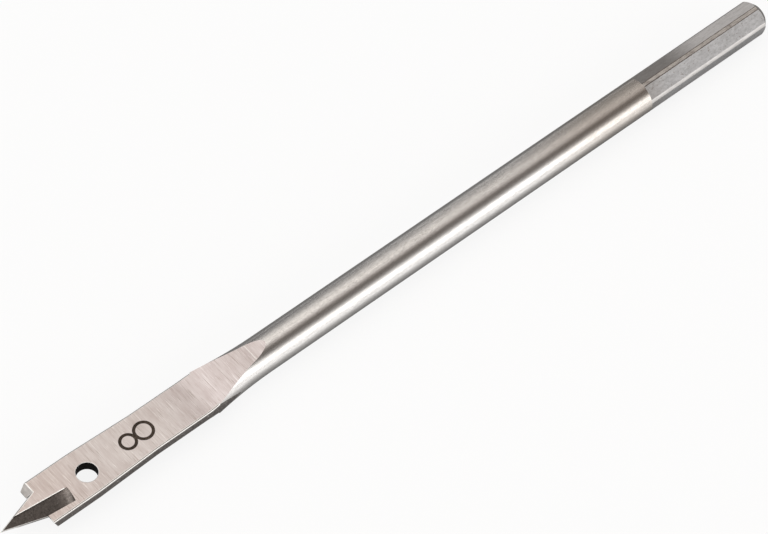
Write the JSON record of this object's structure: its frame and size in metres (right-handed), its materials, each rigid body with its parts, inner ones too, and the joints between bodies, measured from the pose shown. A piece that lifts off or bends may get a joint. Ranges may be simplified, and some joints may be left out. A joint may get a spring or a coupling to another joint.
{
  "type": "spade drill bit",
  "caption": "Flat wood-boring bit with a long centre point, ground cutting shoulders, a hole through the blade, a forged neck, a round shank and a hexagonal drive end.",
  "frame": {"origin": "on the bit's axis, at the middle of the drive end's face", "axes": "+X along the axis and out of the drive end, so the point is at -X; +Z square to the flat blade; Y across the blade"},
  "size_m": [0.152, 0.008, 0.006],
  "materials": {
    "steel": "bare tool steel: blade ground across its width, drawn round shank, milled hexagon, darker ground grooves at the point"
  },
  "bodies": {
    "root": {"spade_bit": "steel"}
  },
  "joints": []
}
